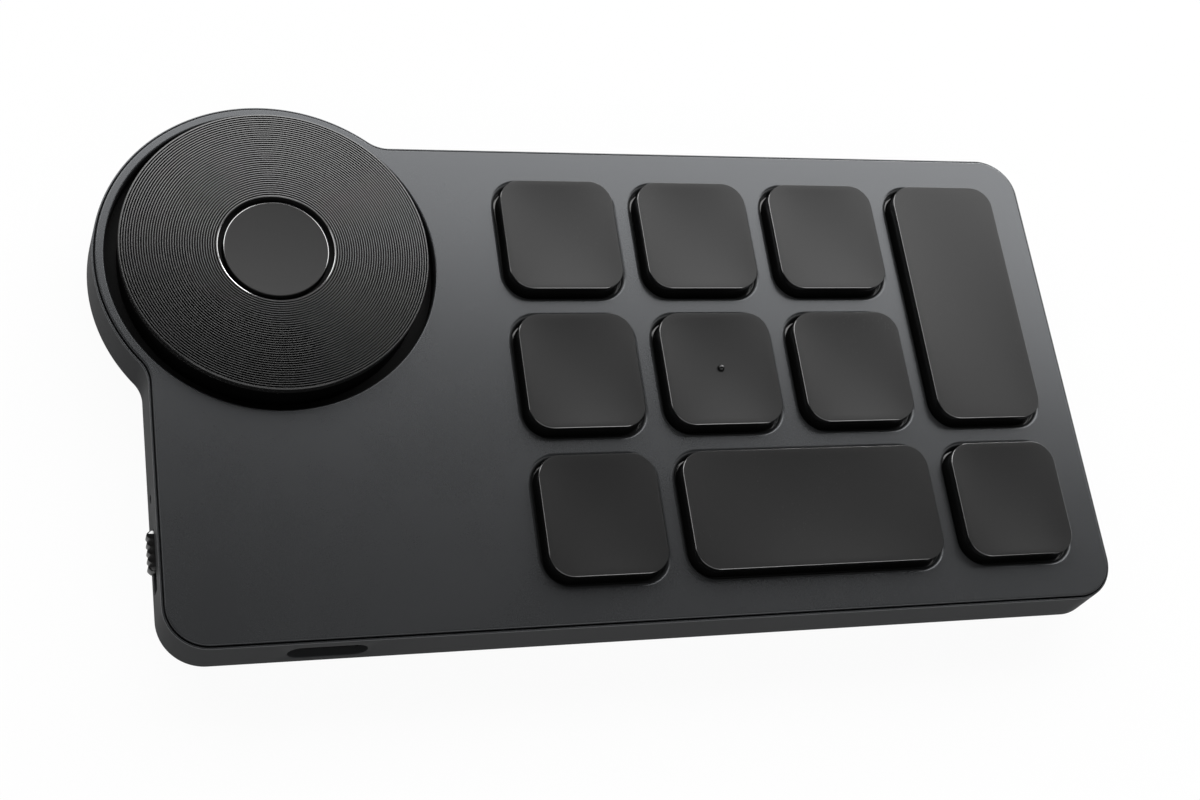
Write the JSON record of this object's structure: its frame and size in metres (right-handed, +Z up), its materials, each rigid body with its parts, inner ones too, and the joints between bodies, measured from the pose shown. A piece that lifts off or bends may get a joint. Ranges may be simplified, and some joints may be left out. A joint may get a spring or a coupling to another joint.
{
  "type": "shortcut remote",
  "caption": "Flat desk remote with rounded-square shortcut keys, a grooved dial with a centre button in a round corner lobe, a power slider and a charging port.",
  "frame": {"origin": "middle of the plan box, on the surface that the feet stand on", "axes": "+X along the long side from the dial to the keys, +Y from the port edge to the back edge, +Z up"},
  "size_m": [0.1166, 0.0648, 0.0114],
  "materials": {
    "plate_paint": "satin metallic dark grey paint with a fine grain",
    "case_paint": "satin metallic dark grey paint",
    "key_plastic": "fine matte top with glossy black sides",
    "dial_metal": "dark anodised, turned rings",
    "button_plastic": "satin dark grey",
    "gloss_black": "glossy black",
    "frame_plastic": "matte black",
    "board_laminate": "green solder mask",
    "switch_plastic": "moulded black",
    "plunger_plastic": "moulded white",
    "chip_plastic": "moulded epoxy",
    "shield_steel": "drawn sheet",
    "magnet_steel": "plated",
    "foam_tape": "double-sided foam tape",
    "battery_foil": "satin foil pouch",
    "led_plastic": "clear over white",
    "clear_plastic": "clear moulded",
    "foot_rubber": "matte black"
  },
  "bodies": {
    "housing": {"top_plate": "plate_paint", "upper_case": "case_paint", "rear_cover": "case_paint", "inner_frame": "frame_plastic", "main_board": "board_laminate", "key_switches": "switch_plastic", "button_switch": "switch_plastic", "hall_sensor": "chip_plastic", "controller_chip": "chip_plastic", "radio_module": "shield_steel", "battery_tape": "foam_tape", "battery": "battery_foil", "usb_shell": "shield_steel", "usb_tongue": "switch_plastic", "slide_switch": "switch_plastic", "status_led": "led_plastic", "light_pipe": "clear_plastic", "rubber_feet": "foot_rubber"},
    "dial": {"dial_face": "dial_metal", "dial_wheel": "gloss_black", "encoder_magnets": "magnet_steel"},
    "centre_button": {"centre_button": "button_plastic", "button_plunger": "plunger_plastic"},
    "key_1": {"key_1": "key_plastic", "key_1_plunger": "plunger_plastic"},
    "key_2": {"key_2": "key_plastic", "key_2_plunger": "plunger_plastic"},
    "key_3": {"key_3": "key_plastic", "key_3_plunger": "plunger_plastic"},
    "key_4": {"key_4": "key_plastic", "key_4_plunger": "plunger_plastic"},
    "key_5": {"key_5": "key_plastic", "key_5_plunger": "plunger_plastic"},
    "key_6": {"key_6": "key_plastic", "key_6_plunger": "plunger_plastic"},
    "key_7": {"key_7": "key_plastic", "key_7_plunger": "plunger_plastic"},
    "key_8": {"key_8": "key_plastic", "key_8_plunger": "plunger_plastic"},
    "key_9": {"key_9": "key_plastic", "key_9_plunger": "plunger_plastic"},
    "key_10": {"key_10": "key_plastic", "key_10_plunger": "plunger_plastic"},
    "slider": {"power_slider": "gloss_black", "switch_lever": "switch_plastic"}
  },
  "joints": [
    {"name": "dial_turn", "type": "hinge", "parent": "housing", "child": "dial", "pos_m": [-0.03837, 0.01243, 0], "axis": [0, 0, 1], "continuous": true},
    {"name": "centre_button_press", "type": "slide", "parent": "housing", "child": "centre_button", "axis": [0, 0, -1], "range_m": [0, 0.0006], "stiffness_N_per_m": 900, "springref_m": -0.0005},
    {"name": "key_1_press", "type": "slide", "parent": "housing", "child": "key_1", "axis": [0, 0, -1], "range_m": [0, 0.0007], "stiffness_N_per_m": 800, "springref_m": -0.0005},
    {"name": "key_2_press", "type": "slide", "parent": "housing", "child": "key_2", "axis": [0, 0, -1], "range_m": [0, 0.0007], "stiffness_N_per_m": 800, "springref_m": -0.0005},
    {"name": "key_3_press", "type": "slide", "parent": "housing", "child": "key_3", "axis": [0, 0, -1], "range_m": [0, 0.0007], "stiffness_N_per_m": 800, "springref_m": -0.0005},
    {"name": "key_4_press", "type": "slide", "parent": "housing", "child": "key_4", "axis": [0, 0, -1], "range_m": [0, 0.0007], "stiffness_N_per_m": 800, "springref_m": -0.0005},
    {"name": "key_5_press", "type": "slide", "parent": "housing", "child": "key_5", "axis": [0, 0, -1], "range_m": [0, 0.0007], "stiffness_N_per_m": 800, "springref_m": -0.0005},
    {"name": "key_6_press", "type": "slide", "parent": "housing", "child": "key_6", "axis": [0, 0, -1], "range_m": [0, 0.0007], "stiffness_N_per_m": 800, "springref_m": -0.0005},
    {"name": "key_7_press", "type": "slide", "parent": "housing", "child": "key_7", "axis": [0, 0, -1], "range_m": [0, 0.0007], "stiffness_N_per_m": 800, "springref_m": -0.0005},
    {"name": "key_8_press", "type": "slide", "parent": "housing", "child": "key_8", "axis": [0, 0, -1], "range_m": [0, 0.0007], "stiffness_N_per_m": 800, "springref_m": -0.0005},
    {"name": "key_9_press", "type": "slide", "parent": "housing", "child": "key_9", "axis": [0, 0, -1], "range_m": [0, 0.0007], "stiffness_N_per_m": 800, "springref_m": -0.0005},
    {"name": "key_10_press", "type": "slide", "parent": "housing", "child": "key_10", "axis": [0, 0, -1], "range_m": [0, 0.0007], "stiffness_N_per_m": 800, "springref_m": -0.0005},
    {"name": "power_slide", "type": "slide", "parent": "housing", "child": "slider", "axis": [0, -1, 0], "range_m": [0, 0.002]}
  ]
}
